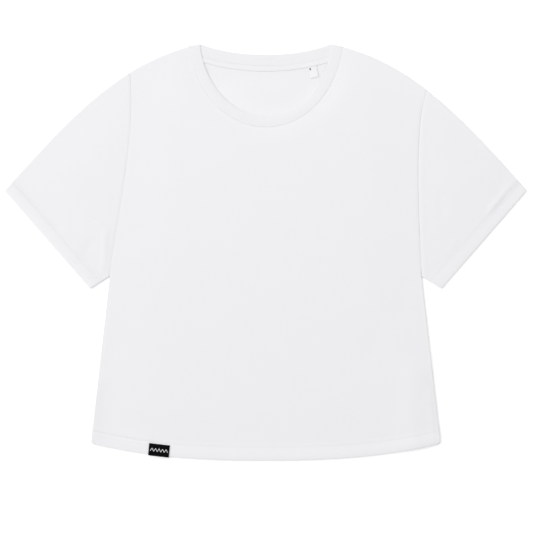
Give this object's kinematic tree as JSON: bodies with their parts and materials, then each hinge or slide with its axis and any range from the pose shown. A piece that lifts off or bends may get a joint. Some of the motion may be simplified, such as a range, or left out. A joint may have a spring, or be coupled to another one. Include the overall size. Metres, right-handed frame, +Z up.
{
  "type": "oversized t-shirt",
  "caption": "Boxy short-sleeved jersey t-shirt with dropped shoulders, laid flat and face up, with a rib collar, an open neck and turned-up hems.",
  "frame": {"origin": "middle of the shirt's outline, on the surface that it lies on", "axes": "+X across the shirt towards the sleeve at the right as seen, +Y from the hem to the neck, +Z up from the surface and out of the front"},
  "size_m": [0.8352, 0.6658, 0.0051],
  "materials": {
    "jersey": "matt white cotton jersey with a fine knit face",
    "rib": "matt white fine rib",
    "tape": "matt white cotton tape",
    "tab": "white woven satin",
    "label": "black woven label with a plain light woven pattern"
  },
  "bodies": {
    "root": {"front_panel": "jersey", "back_panel": "jersey", "sleeve_left": "jersey", "sleeve_right": "jersey", "collar": "rib", "neck_tape": "tape", "size_tab": "tab", "hem_label": "label"}
  },
  "joints": []
}
